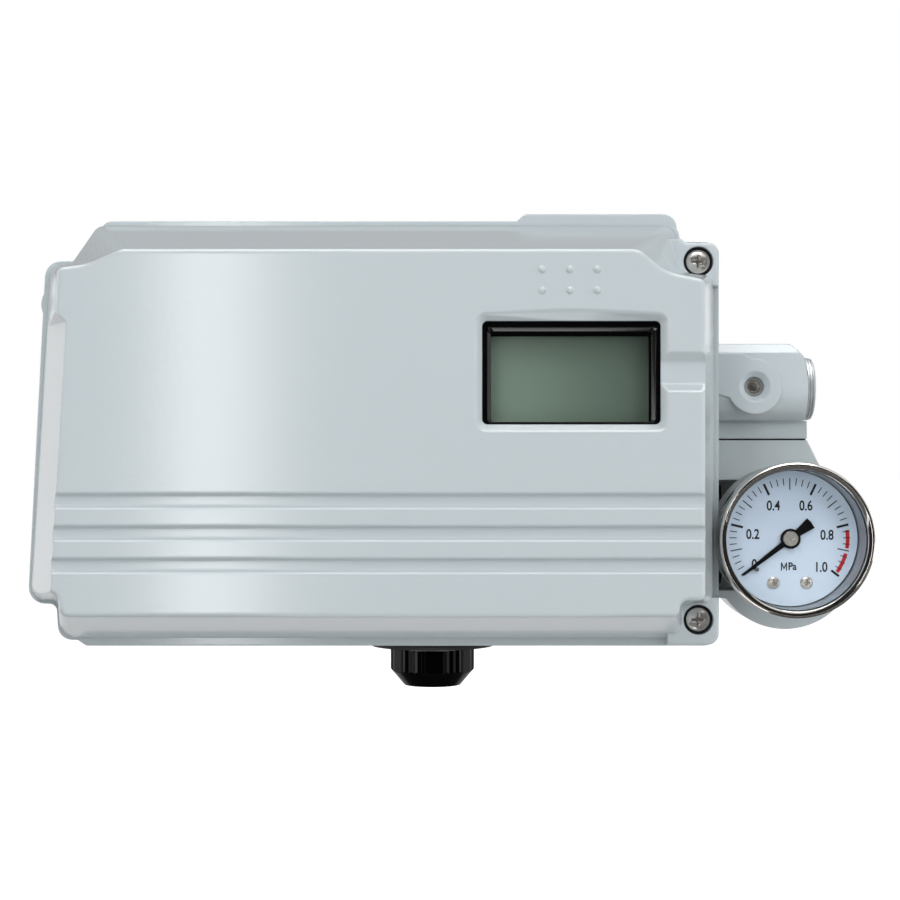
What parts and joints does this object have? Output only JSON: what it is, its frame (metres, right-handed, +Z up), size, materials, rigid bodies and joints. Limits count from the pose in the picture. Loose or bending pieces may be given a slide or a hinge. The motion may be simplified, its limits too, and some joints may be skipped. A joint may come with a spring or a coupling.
{
  "type": "valve positioner",
  "caption": "Electropneumatic valve positioner: grooved cast cover with a display window over a deep base, cable gland below, side port block and pressure gauge.",
  "frame": {"origin": "where the feedback shaft's axis crosses the rear mounting face, at the centre of the four rear bolts", "axes": "+Z up, +Y out of the rear mounting face along the shaft, -Y the front, +X towards the port block"},
  "size_m": [0.202, 0.0969, 0.1157],
  "materials": {
    "casting": "pale grey gloss powder coat on die-cast aluminium",
    "rubber": "moulded black rubber",
    "black_plastic": "satin black moulding",
    "carrier_plastic": "dark grey moulding",
    "terminal_plastic": "green moulding",
    "gear_plastic": "natural acetal",
    "clutch_plastic": "yellow moulding",
    "button_plastic": "light grey moulding",
    "pot_plastic": "blue moulding",
    "display": "unlit reflective display",
    "board": "green solder mask",
    "clear": "clear moulded window",
    "steel": "plain stainless steel",
    "dark_steel": "black oxide",
    "polished_steel": "polished stainless steel",
    "aluminium": "machined and anodised",
    "brass": "turned brass",
    "bronze": "oiled sintered bronze",
    "sintered_bronze": "porous sintered bronze",
    "dial_paint": "pale printed dial",
    "needle_paint": "satin black"
  },
  "bodies": {
    "base": {"base_housing": "casting", "cover_gasket": "rubber", "display_panel": "display", "display_holder": "black_plastic", "electronics_carrier": "carrier_plastic", "circuit_board": "board", "board_screws": "steel", "button_switches": "black_plastic", "terminal_block": "terminal_plastic", "terminal_screws": "steel", "earth_screw": "brass", "shaft_bushes": "bronze", "shaft_seal": "rubber", "potentiometer": "pot_plastic", "potentiometer_bracket": "steel", "gland_washer": "rubber", "gland_body": "black_plastic", "gland_nut": "black_plastic", "gland_seal": "rubber", "gland_locknut": "black_plastic", "port_block": "casting", "gauge_block": "casting", "block_gasket": "rubber", "block_screws": "dark_steel", "output_port_bush": "polished_steel", "supply_port_bush": "polished_steel", "supply_filter": "sintered_bronze", "pilot_valve": "aluminium", "pilot_valve_screws": "steel", "exhaust_silencer": "sintered_bronze", "gauge_socket": "brass", "gauge_case": "polished_steel", "gauge_bezel": "polished_steel", "gauge_lens": "clear", "gauge_dial": "dial_paint", "dial_screws": "steel", "needle_stop": "steel", "bourdon_tube": "brass", "movement_plate": "brass"},
    "cover": {"front_cover": "casting", "cover_screws": "steel", "cover_screw_seals": "rubber", "window_frame": "black_plastic", "window_lens": "clear"},
    "shaft": {"feedback_shaft": "steel", "shaft_clip": "steel", "shaft_gear": "gear_plastic", "clutch_spring": "steel", "clutch_wheel": "clutch_plastic"},
    "pinion": {"potentiometer_pinion": "gear_plastic"},
    "sector": {"gauge_sector": "brass"},
    "needle": {"gauge_pinion": "brass", "gauge_needle": "needle_paint", "needle_hub": "steel"},
    "restrictor": {"restrictor_screw": "steel", "restrictor_ring": "rubber"},
    "left_button": {"button_left": "button_plastic"},
    "middle_button": {"button_middle": "button_plastic"},
    "right_button": {"button_right": "button_plastic"}
  },
  "joints": [
    {"name": "cover_lift", "type": "slide", "parent": "base", "child": "cover", "axis": [0, -1, 0], "range_m": [0, 0.06]},
    {"name": "shaft_turn", "type": "hinge", "parent": "base", "child": "shaft", "pos_m": [0, 0, 0], "axis": [0, 1, 0], "range_deg": [-50, 50]},
    {"name": "pinion_turn", "type": "hinge", "parent": "base", "child": "pinion", "pos_m": [0.01532, 0, 0.01286], "axis": [0, 1, 0], "range_deg": [-152, 152]},
    {"name": "sector_turn", "type": "hinge", "parent": "base", "child": "sector", "pos_m": [0.13565, 0, -0.03765], "axis": [0, 1, 0], "range_deg": [-42.5, 0], "stiffness_Nm_per_rad": 0.004, "springref_deg": 2.86},
    {"name": "needle_turn", "type": "hinge", "parent": "base", "child": "needle", "pos_m": [0.13565, 0, -0.0254], "axis": [0, 1, 0], "range_deg": [0, 256]},
    {"name": "restrictor_turn", "type": "hinge", "parent": "base", "child": "restrictor", "pos_m": [0.1292, 0, 0.0118], "axis": [0, 1, 0], "range_deg": [-360, 360]},
    {"name": "left_button_press", "type": "slide", "parent": "base", "child": "left_button", "axis": [0, 1, 0], "range_m": [0, 0.001], "stiffness_N_per_m": 400, "springref_m": -0.0005},
    {"name": "middle_button_press", "type": "slide", "parent": "base", "child": "middle_button", "axis": [0, 1, 0], "range_m": [0, 0.001], "stiffness_N_per_m": 400, "springref_m": -0.0005},
    {"name": "right_button_press", "type": "slide", "parent": "base", "child": "right_button", "axis": [0, 1, 0], "range_m": [0, 0.001], "stiffness_N_per_m": 400, "springref_m": -0.0005}
  ],
  "couplings": [
    {"joint": "pinion_turn", "follows": "shaft_turn", "ratio": -3},
    {"joint": "needle_turn", "follows": "sector_turn", "ratio": -6}
  ]
}
